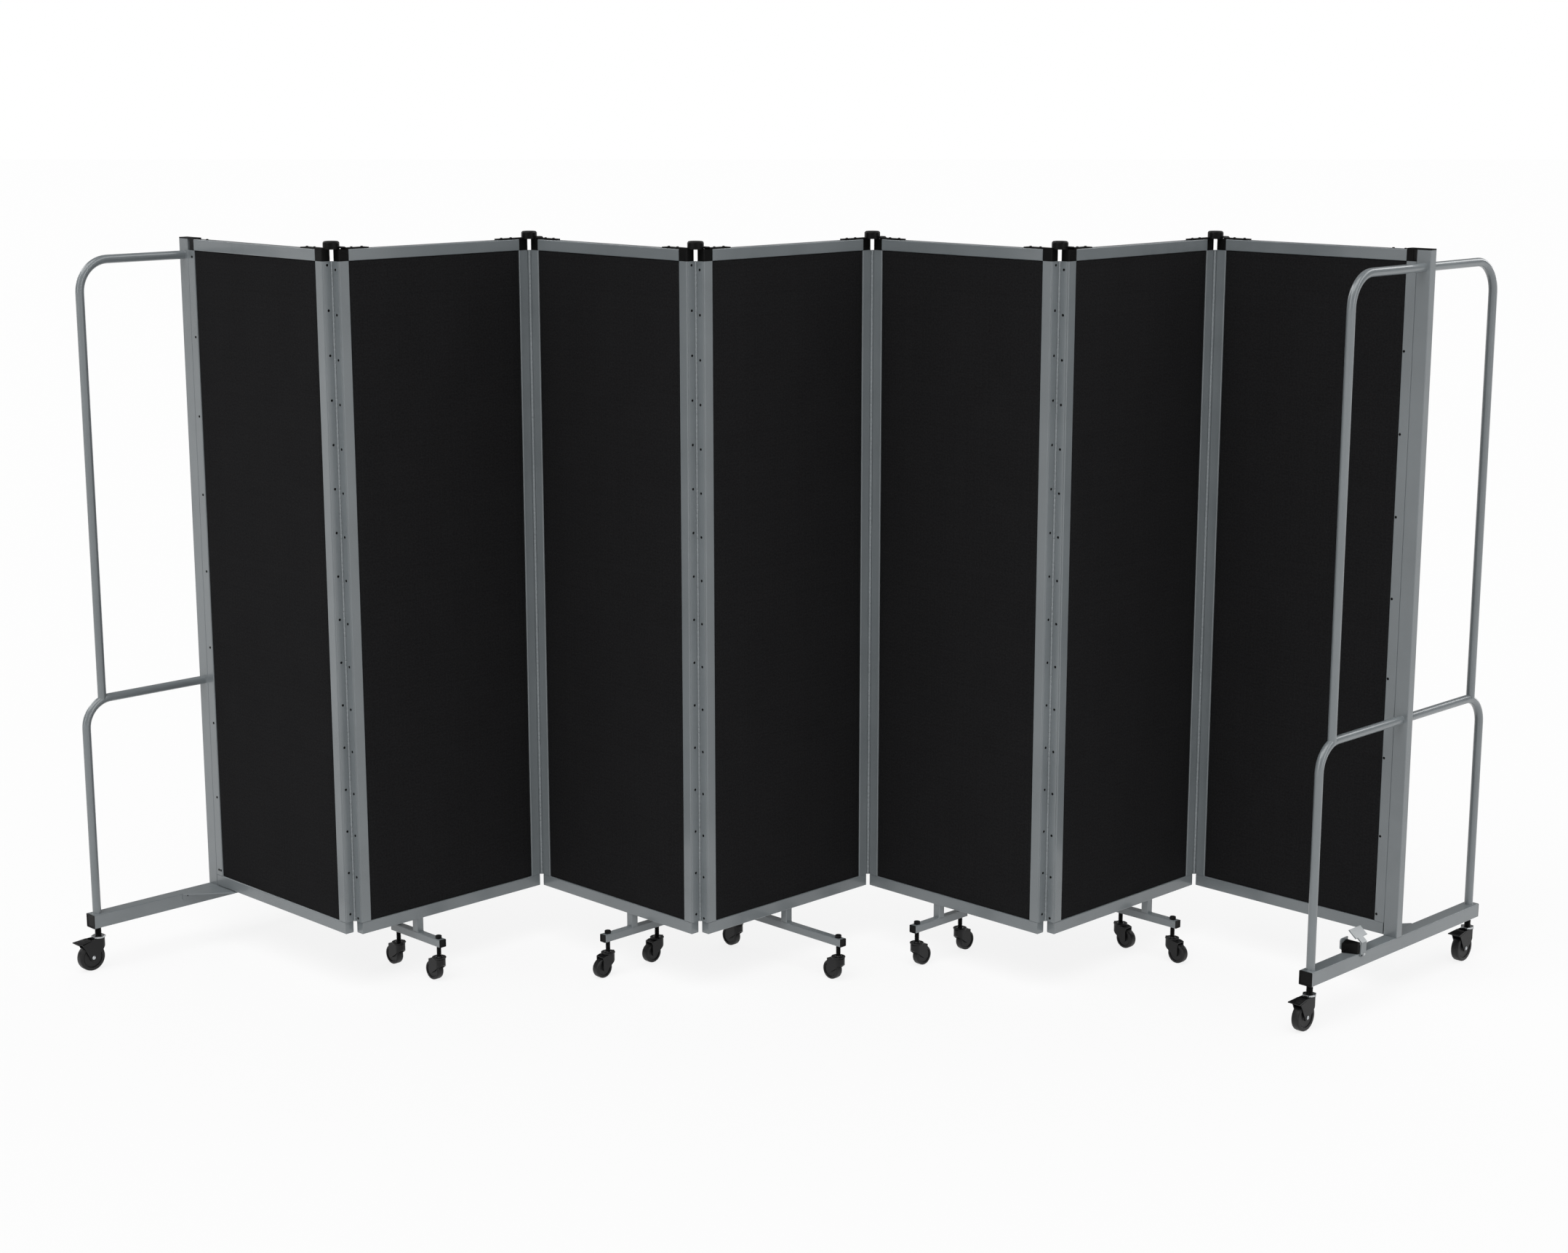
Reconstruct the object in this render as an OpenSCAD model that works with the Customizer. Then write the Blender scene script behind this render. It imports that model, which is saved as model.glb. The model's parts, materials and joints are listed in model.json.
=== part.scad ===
// Portable room divider: seven hinged fabric panels on casters, standing in a zigzag.
// Millimetres, Z up, floor at z = 0, origin under the middle of the footprint, front towards -Y.
// Each panel is drawn with its length along X and its front face towards -Y, then placed.

/* [Panels] */
// Width of the fabric between the posts
fabric_w = 513; // [420:1:700]
// Height of the fabric between the rails
fabric_h = 1616; // [1300:1:1900]
// Thickness of the fabric-covered board
fabric_t = 21; // [16:0.5:22]
// Gap round the edge of the board
board_gap = 0.3; // [0.2:0.1:1]
// Radius of the board's upright edges
board_edge_r = 3; // [1:0.5:5]
// Width of each post seen from the front
post_w = 27.5; // [22:0.5:40]
// Depth of posts and rails, front to back
frame_t = 24; // [22:1:36]
// Height of the bottom rail
rail_h = 30; // [24:1:45]
// Height of the top rail
top_rail_h = 27.5; // [22:0.5:45]
// Height of the bottom rail's underside above the floor
floor_gap = 146; // [140:1:240]
// Distance that each end of the bottom rail stays inside the post
rail_inset = 1.5; // [0.5:0.5:4]
// Wall of the frame tubes
frame_wall = 1.6; // [1:0.1:2.5]
// Outer corner radius of the square tubes
tube_corner_r = 2; // [1:0.25:3]
// Angle of each panel to the line of the divider
panel_turn = 45; // [30:1:60]

/* [Piano hinges] */
// Distance from a post's end face to the hinge axis
hinge_gap = 4; // [3.5:0.25:7]
// Distance that the hinge axis stands out from the panel's face
axis_out = 1; // [0.75:0.25:3]
// Radius of the hinge barrel
barrel_r = 2.5; // [2:0.1:3]
// Radius of the hinge pin
hinge_pin_r = 1.2; // [0.8:0.1:1.4]
// Running clearance round every pin and stem
running_fit = 0.05; // [0.02:0.01:0.1]
// Number of knuckles along a hinge, both leaves together
knuckles = 27; // [9:2:61]
// Gap between neighbouring knuckles
knuckle_gap = 0.4; // [0.2:0.1:1]
// Clearance round the other leaf's knuckles
knuckle_clear = 0.3; // [0.2:0.1:0.6]
// Distance from the hinge axis to the free face of a leaf
leaf_in = 1.2; // [1.1:0.1:1.8]
// Width of a hinge leaf
leaf_w = 23; // [16:0.5:23.5]

/* [Top pivots] */
// Radius of the domed cap over each hinge line
dome_r = 19.5; // [16:0.5:24]
// Height of the domed cap's top above the rails
dome_h = 19; // [14:0.5:26]
// Radius of the domed cap's top edge
dome_edge_r = 5; // [2:0.5:8]
// Thickness of the pivot arms
arm_t = 3; // [2:0.5:3.5]
// Width of the pivot arms
arm_w = 21; // [14:0.5:22]
// Length of the pivot arms from the hinge axis
arm_l = 91; // [60:1:140]
// Radius of the pivot pin under the cap
pivot_r = 4; // [3:0.5:6]

/* [T-bars] */
// Side of the square tubes of the T-bars
bar_t = 20; // [18:1:24]
// Length of the short cross tubes
bar_l = 197; // [180:1:230]
// Length of the long cross tube under the middle panel
bar_long_l = 397; // [360:1:440]
// Height of the stub between cross tube and bottom rail
stub_h = 35; // [25:1:60]
// Wall of the T-bar tubes
bar_wall = 1.6; // [1:0.1:2.5]
// Distance of the stubs of panels 3 and 5 from the middle of the panel
stub_near = 51; // [46:1:54]
// Distance of the stubs of panels 2 and 6 from the middle of the panel
stub_far = 106; // [102:1:112]
// Distance of a caster stem from the end of its cross tube
stem_inset = 15.5; // [14:0.5:22]
// Thickness of the rim of a tube plug
plug_rim = 1.5; // [1:0.25:3]

/* [Small casters] */
// Radius of a small wheel
small_wheel_r = 25; // [22:0.5:27]
// Width of a small wheel
small_wheel_w = 20; // [16:0.5:22]
// Distance of a small wheel's axle behind its stem
small_trail = 19.5; // [16:0.5:22]
// Radius of a small caster's stem
small_stem_r = 5; // [4:0.5:6]
// Clearance between a small wheel and the hood of its fork
small_clear = 3; // [2:0.5:4]
// Thickness of a small fork's cheeks
small_cheek_t = 3; // [2:0.25:3.5]
// Radius of the lip of a small caster's swivel head
small_head_r = 17.5; // [15:0.5:19]
// Radius of the round nut on top of the cross tube
knob_r = 8; // [6.5:0.1:9]
// Height of the round nut
knob_h = 7.5; // [6:0.5:16]

/* [End frames] */
// Width of the end post seen from the front
end_post_w = 38; // [34:1:50]
// Width of the foot tube
foot_w = 36; // [32:1:42]
// Height of the foot tube
foot_h = 35; // [30:1:40]
// Gap between the foot tube and the rails that fold over it
foot_gap = 1; // [0.5:0.5:3]
// Length of the foot tube
foot_l = 746; // [700:1:800]
// Radius of the loop tubes
loop_r = 10.5; // [9:0.5:12]
// Wall of the loop tubes
loop_wall = 1.5; // [1:0.1:2.5]
// Height of the upper loop's top tube below the top of the post
upper_drop = 40; // [30:1:80]
// Distance of the upper loop's uprights from the panel
upper_reach = 307; // [290:1:315]
// Bend radius of the upper loop
upper_bend_r = 78; // [60:1:120]
// Height of the lower loop's top tube above the floor
lower_z = 694; // [560:1:840]
// Distance of the lower loop's uprights from the panel
lower_reach = 355; // [346:1:360]
// Bend radius of the lower loop
lower_bend_r = 70; // [60:1:90]
// Width of the corner block beside an end post
end_block_w = 18.5; // [14:0.5:24]
// Length of the gusset along the rail
gusset_x = 85; // [60:1:110]
// Length of the gusset along the foot
gusset_y = 105; // [60:1:130]
// Thickness of the gusset plate
gusset_t = 2.5; // [2:0.5:5]
// Height of the gusset's flange on the side of the foot
gusset_flange = 14; // [8:1:22]

/* [End casters] */
// Radius of an end wheel
end_wheel_r = 35; // [33:0.5:38]
// Width of an end wheel
end_wheel_w = 20.5; // [18:0.5:26]
// Distance of an end wheel's axle behind its stem
end_trail = 23.5; // [20:0.5:28]
// Clearance between an end wheel and the head of its fork
end_clear = 2; // [2:0.5:4]
// Thickness of an end fork's cheeks
end_cheek_t = 2.3; // [2:0.1:3.5]
// Reach of an end fork's cheeks from the stem
end_cheek_l = 52; // [48:0.5:54]
// Radius of an end caster's threaded stem
end_stem_r = 7.2; // [6:0.2:9]
// Width across the flats of the lock nut
nut_af = 31; // [24:1:36]
// Thickness of the lock nut
nut_h = 4; // [3:0.5:10]
// Reach of the brake pedal from the stem
pedal_reach = 64; // [60:0.5:72]
// Width of the brake pedal at its tip
pedal_w = 34; // [28:0.5:42]
// Thickness of the brake pedal's plate
pedal_t = 2.2; // [1.8:0.1:3]

/* [Latch] */
// Gap between the latch and the panels folded over the foot
latch_gap = 2; // [1:0.5:4]
// Height of the latch pivot below the top of the foot
latch_drop = 4; // [3.5:0.5:8]
// Radius of the latch pivot pins
latch_pin_r = 2; // [1.5:0.25:2.5]
// Thickness of the latch's plates
latch_t = 3; // [2:0.5:4]
// Width of the latch's outer plate and neck
latch_w = 23; // [18:0.5:28]
// Height of the elbow above the latch pivot
latch_rise = 31; // [26:1:40]
// Length of the foot pad
pad_l = 49; // [40:1:60]
// Width of the foot pad
pad_w = 27; // [20:1:30]
// Slope of the foot pad
pad_slope = 40; // [25:1:50]
// Height of the catch block above the foot
block_h = 28.5; // [20:0.5:32]
// Length of the catch block on the inner side
block_l = 24; // [20:0.5:26]
// Length of the catch block on the outer side
block_short_l = 9; // [6:0.5:18]

/* [Hidden] */
$fn = 48;

paint = [0.46, 0.48, 0.49];
cloth = [0.09, 0.09, 0.09];
moulding = [0.13, 0.13, 0.13];
rubber = [0.17, 0.17, 0.17];

// Least gap between pieces of two moving bodies, and of pieces that sit loosely together
seat = 0.3;
// Joint line between pieces that are screwed together
joint_line = 0.1;
// Overlap that makes a cut run right through
over = 1;

// Heights of the panel
z_rail = floor_gap;
z_fabric = z_rail + rail_h;
z_block = z_fabric + fabric_h;
z_top = z_block + top_rail_h;
// Half lengths of the panel
fabric_x = fabric_w / 2;
post_x = fabric_x + post_w;
axis_x = post_x + hinge_gap;
axis_y = frame_t / 2 + axis_out;
// Step from panel to panel
pitch_x = 2 * axis_x * cos(panel_turn) + 2 * axis_y * sin(panel_turn);
middle_panel = 4;
// Knuckles
knuckle_pitch = floor(fabric_h / knuckles * 20) / 20;
notch_r = barrel_r + knuckle_clear;
// T-bars
z_bar = z_rail - stub_h - bar_t;
plug_depth = 12;
stem_y = bar_l / 2 - stem_inset;
stem_long_y = bar_long_l / 2 - stem_inset;
stub_xs = [0, 0, -stub_far, stub_near, 0, -stub_near, stub_far, 0];
// Small casters
small_axle_r = 3;
small_hub_r = 7;
small_side = 0.6;
small_cheek_x = small_wheel_w / 2 + small_side;
small_hood_z = 2 * small_wheel_r + small_clear;
small_hood_h = 5;
small_head_z = small_hood_z + small_hood_h + 4;
small_stem_z = small_hood_z + 1.5;
// End frames
foot_top = z_rail - foot_gap;
foot_z = foot_top - foot_h;
foot_x = fabric_x + post_w + end_post_w / 2;
foot_plug_rim = 2;
end_stem_y = lower_reach;
upper_z = z_top - upper_drop;
// End casters
end_axle_r = 4;
end_hub_r = 8.5;
end_side = 0.5;
end_cheek_x = end_wheel_w / 2 + end_side;
end_head_low = 2 * end_wheel_r + end_clear;
end_head_z = end_head_low + 9.5;
end_stem_z = end_head_low + 1.5;
pedal_pin_r = 2;
pedal_root_r = 4;
pedal_pin_y = end_trail + 9.5;
pedal_pin_z = end_head_z - 7;
pedal_back_y = pedal_pin_y - 4.5;
pedal_fall = 4;
shoe_gap = 2.2;
// Latch: the folded panels reach to stack_y over the right foot
stack_y = 6 * 2 * axis_y + frame_t / 2;
latch_back = latch_w / 3;
latch_front = latch_w - latch_back;
latch_y = stack_y + latch_gap + latch_t - latch_front;
latch_z = foot_top - latch_drop;
pad_neck = 16;
neck_in = 0.5;

// Sign of a panel's turn: odd panels run towards the front, even panels towards the back
function turn_of(i) = i % 2 == 0 ? 1 : -1;

// Corners of the outermost brake pedal and of the foot's outer end, from the middle of the panel
pedal_corners = [[foot_x + pedal_w / 2, end_stem_y + pedal_reach]];
foot_corners = [
    [foot_x + foot_w / 2 - tube_corner_r * (1 - cos(90 - panel_turn)),
        foot_l / 2 + foot_plug_rim]
];
function reach(points, a) = max([for (p = points) p.x * cos(a) + p.y * sin(a)]);
// The footprint is longer where a brake pedal points outwards, so all is moved to the middle of it
shift_x = (reach(pedal_corners, panel_turn) - reach(foot_corners, panel_turn)) / 2;
shift_y = (reach(pedal_corners, 90 - panel_turn) - reach(foot_corners, 90 - panel_turn)) / 2;

// Touching point of the line from point p to the circle of radius r round c, on side s
function tangent(p, c, r, s) =
    let (d = c - p, dist = norm(d), a = atan2(d.y, d.x) + s * asin(r / dist))
    p + sqrt(dist * dist - r * r) * [cos(a), sin(a)];

// Puts a panel's own drawing in its place in the zigzag
module at_panel(i) {
    translate([(i - middle_panel) * pitch_x + shift_x, shift_y, 0])
        rotate(turn_of(i) * panel_turn) children();
}

// Puts a drawing made round a hinge axis, with its panel towards +X and +Y, at one end of panel i
module at_hinge(i, end) {
    front = end * turn_of(i) > 0 ? -1 : 1;
    translate([end * axis_x, front * axis_y, 0])
        mirror([end > 0 ? 1 : 0, 0, 0]) mirror([0, front > 0 ? 1 : 0, 0]) children();
}

// Rectangle with round corners, centred
module round_rect(w, d, r) {
    square([w - 2 * r, d], center = true);
    square([w, d - 2 * r], center = true);
    for (x = [-1, 1], y = [-1, 1])
        translate([x * (w / 2 - r), y * (d / 2 - r)]) circle(r, $fn = 24);
}

// Upright square tube
module square_tube(w, d, h, wall) {
    linear_extrude(h) difference() {
        round_rect(w, d, tube_corner_r);
        square([w - 2 * wall, d - 2 * wall], center = true);
    }
}

// Upright solid bar with round corners
module round_bar(w, d, h) {
    linear_extrude(h) round_rect(w, d, tube_corner_r);
}

// Cylinder with a round top edge
module round_cap(r, h, edge) {
    rotate_extrude() {
        square([r - edge, h]);
        square([r, h - edge]);
        intersection() {
            translate([r - edge, h - edge]) circle(edge, $fn = 32);
            translate([r - edge, 0]) square([edge, h]);
        }
    }
}

// Bent round tube in the YZ plane: along -Y at height z, bend, then down to z_end
module bent_tube(r, bend_r, y0, reach, z, z_end, wall) {
    translate([0, -y0, z]) rotate([90, 0, 0]) linear_extrude(reach - bend_r - y0)
        ring(r, wall);
    translate([0, -reach + bend_r, z - bend_r]) rotate([90, 0, -90])
        rotate_extrude(angle = 90) translate([bend_r, 0]) ring(r, wall);
    translate([0, -reach, z_end]) linear_extrude(z - bend_r - z_end) ring(r, wall);
}

// Ring outline, or a full circle where the wall is 0
module ring(r, wall) {
    difference() {
        circle(r);
        if (wall > 0) circle(r - wall);
    }
}

// One leaf of a piano hinge round its axis: q is 0 for the left panel's leaf, 1 for the right's
module hinge_leaf(q) {
    difference() {
        union() {
            translate([leaf_in, seat, knuckle_gap / 2])
                cube([hinge_gap - joint_line - leaf_in, leaf_w,
                    knuckles * knuckle_pitch - knuckle_gap]);
            for (j = [q:2:knuckles - 1])
                translate([0, 0, j * knuckle_pitch + knuckle_gap / 2])
                    cylinder(r = barrel_r, h = knuckle_pitch - knuckle_gap);
        }
        for (j = [1 - q:2:knuckles - 1])
            translate([0, 0, j * knuckle_pitch - knuckle_gap / 2])
                cylinder(r = notch_r, h = knuckle_pitch + knuckle_gap);
        translate([0, 0, -over]) cylinder(r = hinge_pin_r + running_fit, h = fabric_h + 2 * over);
    }
}

// Lower half of a top pivot: arm, disc and pin, drawn above the rail's top
module pivot_lower() {
    middle = axis_out + frame_t / 2;
    translate([hinge_gap, middle - arm_w / 2, joint_line])
        cube([arm_l - hinge_gap, arm_w, arm_t - joint_line]);
    translate([0, 0, seat]) cylinder(r = dome_r, h = arm_t - seat);
    cylinder_on(pivot_r, arm_t - seat, dome_h * 0.7);
}

// Cylinder from height z0 to height z1
module cylinder_on(r, z0, z1) {
    translate([0, 0, z0]) cylinder(r = r, h = z1 - z0);
}

// Upper half of a top pivot: domed cap and the arm that steps down to the rail
module pivot_upper() {
    middle = axis_out + frame_t / 2;
    low = arm_t + seat;
    ramp0 = dome_r + 2;
    ramp1 = ramp0 + low + 1;
    difference() {
        union() {
            translate([0, 0, low]) round_cap(dome_r, dome_h - low, dome_edge_r);
            translate([0, middle + arm_w / 2, 0]) rotate([90, 0, 0]) linear_extrude(arm_w) polygon([
                [dome_r / 2, low], [ramp0, low], [ramp1, joint_line], [arm_l, joint_line],
                [arm_l, arm_t],
                [ramp1 + 1, arm_t], [ramp0 + 1, low + arm_t], [dome_r / 2, low + arm_t]
            ]);
        }
        cylinder_on(pivot_r + running_fit, 0, dome_h * 0.7 + seat);
    }
}

// Corner block on a post, with spigots into the post and the rail; end is -1 left, 1 right
module corner_block(end, w) {
    slack = frame_wall + seat / 2;
    translate([end * (fabric_x + w / 2), 0, z_block]) round_bar(w, frame_t, top_rail_h);
    translate([end * (fabric_x + w / 2), 0, z_block - plug_depth])
        linear_extrude(plug_depth + over)
            square([w - 2 * slack, frame_t - 2 * slack], center = true);
    translate([end * (fabric_x - plug_depth / 2 + over / 2), 0, z_block + slack])
        linear_extrude(top_rail_h - 2 * slack)
            square([plug_depth + over, frame_t - 2 * slack], center = true);
}

// Plug in the end of a tube that runs along Y: rim against the end at y = 0, spigot towards +Y
module tube_plug(w, h, wall, rim, depth) {
    slack = wall + seat / 2;
    rotate([90, 0, 0]) difference() {
        union() {
            round_bar(w, h, rim);
            translate([0, 0, -depth]) linear_extrude(depth + rim / 2)
                square([w - 2 * slack, h - 2 * slack], center = true);
        }
        translate([0, 0, rim / 2]) linear_extrude(rim)
            square([w - 4 * wall, h - 4 * wall], center = true);
    }
}

// Stem of a small caster with its round nut on top of the cross tube
module small_stem() {
    cylinder_on(small_stem_r, small_stem_z, z_bar + bar_t + knob_h / 2);
    translate([0, 0, z_bar + bar_t]) round_cap(knob_r, knob_h, 1.5);
}

// Grey frame of panel i: posts, rails, hinge leaves, hinge pin and T-bar
module panel_frame(i) {
    color(paint) at_panel(i) {
        for (end = [-1, 1]) translate([end * (fabric_x + post_w / 2), 0, z_fabric])
            square_tube(post_w, frame_t, fabric_h, frame_wall);
        translate([-fabric_x, 0, z_block + top_rail_h / 2]) rotate([90, 0, 90])
            square_tube(frame_t, top_rail_h, fabric_w, frame_wall);
        translate([rail_inset - post_x, 0, z_rail + rail_h / 2]) rotate([90, 0, 90])
            square_tube(frame_t, rail_h, 2 * (post_x - rail_inset), frame_wall);
        if (i > 1) at_hinge(i, -1) translate([0, 0, z_fabric]) hinge_leaf(1);
        if (i < 7) at_hinge(i, 1) translate([0, 0, z_fabric]) {
            hinge_leaf(0);
            cylinder(r = hinge_pin_r, h = fabric_h);
        }
        if (i > 1 && i < 7) t_bar(stub_xs[i], i == middle_panel ? bar_long_l : bar_l);
    }
}

// T-bar: stub tube under the rail and cross tube with two stem holes
module t_bar(x, len) {
    translate([x, 0, z_bar + bar_t]) square_tube(bar_t, bar_t, stub_h - joint_line, bar_wall);
    translate([x, 0, 0]) difference() {
        translate([0, len / 2, z_bar + bar_t / 2]) rotate([90, 0, 0])
            square_tube(bar_t, bar_t, len, bar_wall);
        for (s = [-1, 1]) translate([0, s * (len / 2 - stem_inset), 0])
            cylinder_on(small_stem_r + 2 * running_fit, z_bar - over, z_bar + bar_t + over);
    }
}

// Fabric-covered board of panel i
module panel_fabric(i) {
    color(cloth) at_panel(i) translate([0, 0, z_fabric + board_gap])
        linear_extrude(fabric_h - 2 * board_gap)
            round_rect(fabric_w - 2 * board_gap, fabric_t, board_edge_r);
}

// Black mouldings of panel i: corner blocks, pivot arms, plugs, stems and cap plate
module panel_plastics(i) {
    color(moulding) at_panel(i) {
        corner_block(-1, i == 1 ? end_block_w : post_w);
        corner_block(1, i == 7 ? end_block_w : post_w);
        if (i > 1) at_hinge(i, -1) translate([0, 0, z_top]) pivot_upper();
        if (i < 7) at_hinge(i, 1) translate([0, 0, z_top]) pivot_lower();
        if (i > 1 && i < 7) {
            half = (i == middle_panel ? bar_long_l : bar_l) / 2;
            translate([stub_xs[i], 0, 0]) for (s = [0, 180]) rotate(s) {
                translate([0, -half, z_bar + bar_t / 2])
                    tube_plug(bar_t, bar_t, bar_wall, plug_rim, stem_inset - small_stem_r - 2);
                translate([0, -half + stem_inset, 0]) small_stem();
            }
        }
        if (i == 1 || i == 7) {
            end = i == 1 ? -1 : 1;
            translate([end * (fabric_x + (post_w + end_post_w) / 2), 0, z_top + joint_line])
                round_bar(post_w + end_post_w, frame_t, arm_t - joint_line);
            translate([end * foot_x, 0, 0]) for (s = [0, 180]) rotate(s) {
                translate([0, -foot_l / 2, foot_z + foot_h / 2])
                    tube_plug(foot_w, foot_h, frame_wall, foot_plug_rim,
                        foot_l / 2 - end_stem_y - end_stem_r - 2);
                translate([0, -end_stem_y, 0])
                    cylinder_on(end_stem_r, end_stem_z, foot_z + foot_h / 2);
            }
        }
    }
}

// End frame: end post and the front and back halves of both loops
module end_frame(i, end) {
    color(paint) at_panel(i) translate([end * foot_x, 0, 0]) {
        translate([0, 0, foot_top])
            square_tube(end_post_w, frame_t, z_top - foot_top, frame_wall);
        for (s = [0, 180]) rotate(s) {
            difference() {
                bent_tube(loop_r, upper_bend_r, frame_t / 2, upper_reach, upper_z,
                    lower_z - lower_bend_r, loop_wall);
                lower_loop(0);
                translate([-2 * loop_r, -2 * upper_reach, 0])
                    cube([4 * loop_r, 2 * upper_reach, lower_z - loop_r / 2]);
            }
            lower_loop(loop_wall);
        }
    }
}

// Front half of the lower loop
module lower_loop(wall) {
    bent_tube(loop_r, lower_bend_r, frame_t / 2, lower_reach, lower_z, foot_top, wall);
}

// Foot tube with gusset, lock nuts and, on the right, the latch pins; side is -1 front, 1 back
module foot(i, end, side) {
    color(paint) at_panel(i) translate([end * foot_x, 0, 0]) {
        difference() {
            translate([0, foot_l / 2, foot_z + foot_h / 2]) rotate([90, 0, 0])
                square_tube(foot_w, foot_h, foot_l, frame_wall);
            for (s = [-1, 1]) translate([0, s * end_stem_y, 0])
                cylinder_on(end_stem_r + 2 * running_fit, foot_z - over, foot_z + foot_h / 2);
        }
        for (s = [-1, 1]) translate([0, s * end_stem_y, end_head_z + seat]) difference() {
            cylinder(d = nut_af / cos(30), h = nut_h, $fn = 6);
            cylinder_on(end_stem_r + 2 * running_fit, -over, nut_h + over);
        }
        gusset(end, side);
        if (i == 7) latch_pins(end);
    }
}

// Triangular plate level with the foot's top, under the rail, with a flange on the foot's side
module gusset(end, side) {
    root = foot_w / 2 - frame_wall / 2;
    tip = frame_t / 2 + gusset_y;
    mirror([end < 0 ? 0 : 1, 0, 0]) mirror([0, side < 0 ? 1 : 0, 0]) {
        translate([0, 0, foot_top - gusset_t]) linear_extrude(gusset_t) polygon([
            [root, 0], [foot_w / 2 + gusset_x, 0],
            [foot_w / 2 + gusset_x, frame_t / 2], [foot_w / 2 + gusset_t, tip], [root, tip]
        ]);
        translate([root, frame_t / 2, foot_top - gusset_flange])
            cube([foot_w / 2 + gusset_t - root, gusset_y, gusset_flange]);
    }
}

// Pivot pins of the latch on both sides of the foot
module latch_pins(end) {
    translate([0, -latch_y, latch_z]) rotate([0, 90, 0]) for (s = [-1, 1])
        translate([0, 0, s > 0 ? foot_w / 2 - over / 2 : -foot_w / 2 + over / 2])
            mirror([0, 0, s > 0 ? 0 : 1]) cylinder(r = latch_pin_r, h = latch_t + seat + over);
}

// Grey lever that straddles the right foot, drawn round the foot's middle
module latch_lever() {
    outer = foot_w / 2 + seat;
    low = latch_pin_r + 3;
    above = latch_drop + seat;
    tab = latch_front + block_l + 4;
    color(paint) at_panel(7) translate([foot_x, 0, 0]) {
        difference() {
            union() {
                // Inner plate: low under the folded rails, then up beside the block
                latch_plate(-outer - latch_t, latch_t, [
                    [-latch_back, -low], [latch_front, -low], [tab, above + 10],
                    [tab, block_h + 6], [tab - 4, block_h + 10], [latch_front - latch_t, block_h + 10],
                    [latch_front - latch_t, latch_drop], [-latch_back, latch_drop]
                ]);
                // Outer plate up to the elbow
                latch_plate(outer, latch_t, [
                    [-latch_back, 3 - low], [3 - latch_back, -low], [latch_front - 3, -low],
                    [latch_front, 3 - low], [latch_front, latch_rise], [-latch_back, latch_rise]
                ]);
                // Web across the foot behind the block
                latch_plate(-outer - latch_t / 2, 2 * outer + latch_t, [
                    [latch_front - latch_t, above], [latch_front, above],
                    [latch_front, block_h - 4], [latch_front - latch_t, block_h - 4]
                ]);
                // Sloping neck and foot pad
                translate([outer + latch_t - seat, -latch_y, latch_z + latch_rise - latch_t / 2])
                    rotate([0, pad_slope, 0]) {
                        translate([-pad_neck - over, neck_in - latch_front, 0])
                            cube([pad_neck + over, latch_w - 2 * neck_in, latch_t]);
                        translate([-pad_neck - pad_w, -pad_l / 2 + 2, 0])
                            cube([pad_w, pad_l, latch_t]);
                    }
            }
            translate([0, -latch_y, latch_z]) rotate([0, 90, 0])
                cylinder(r = latch_pin_r + running_fit, h = 3 * foot_w, center = true);
        }
    }
}

// Plate of the latch standing along the foot; outline points are (distance ahead, height) from
// the pivot
module latch_plate(x, thick, points) {
    translate([x, -latch_y, latch_z]) rotate([90, 0, 90]) mirror([1, 0, 0])
        linear_extrude(thick) polygon(points);
}

// Black catch block in front of the latch's web, with a slanting front
module latch_block() {
    half = foot_w / 2;
    back = latch_y + latch_front + joint_line;
    color(moulding) at_panel(7) translate([foot_x, 0, 0]) intersection() {
        translate([0, 0, foot_top + seat]) linear_extrude(block_h - seat) polygon([
            [-half, -back], [-half, -back - block_l], [2 - half, -back - block_l],
            [half, -back - block_short_l], [half, -back]
        ]);
        latch_plate(-half, 2 * half, [
            [latch_front, 0], [latch_front + block_l + over, 0],
            [latch_front + block_l + over, latch_drop + block_h - 6],
            [latch_front + block_short_l, latch_drop + block_h], [latch_front, latch_drop + block_h]
        ]);
    }
}

// Places a caster: side is -1 at the front end of its bar or foot, 1 at the back;
// trail is -1 where the wheel trails to the front, 1 to the back
module at_caster(i, x, y, trail) {
    at_panel(i) translate([x, y, 0]) rotate(trail > 0 ? 180 : 0) children();
}

// Plate across the axle's direction from an outline in (distance behind the stem, height)
module cheek(x0, x1) {
    translate([x1, 0, 0]) rotate([90, 0, -90]) linear_extrude(x1 - x0) children();
}

// Housing of a fork: a bent shell, open to the front, under a solid head, within a side outline.
// Its half width is w, its cheeks are wall thick, and its round back is centred at y = back.
module fork_shell(w, wall, back, head_l, head_low, high) {
    intersection() {
        union() {
            linear_extrude(high) difference() {
                fork_plan(w, back);
                fork_plan(w - wall, back);
            }
            translate([0, 0, head_low]) linear_extrude(high - head_low) intersection() {
                fork_plan(w, back);
                translate([-w, -head_l]) square([2 * w, head_l + back + w]);
            }
        }
        cheek(-w, w) children();
    }
}

// Fork seen from above: round at the back, straight to the front
module fork_plan(w, back) {
    translate([0, back]) circle(w);
    translate([-w, back - 100]) square([2 * w, 100]);
}

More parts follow.
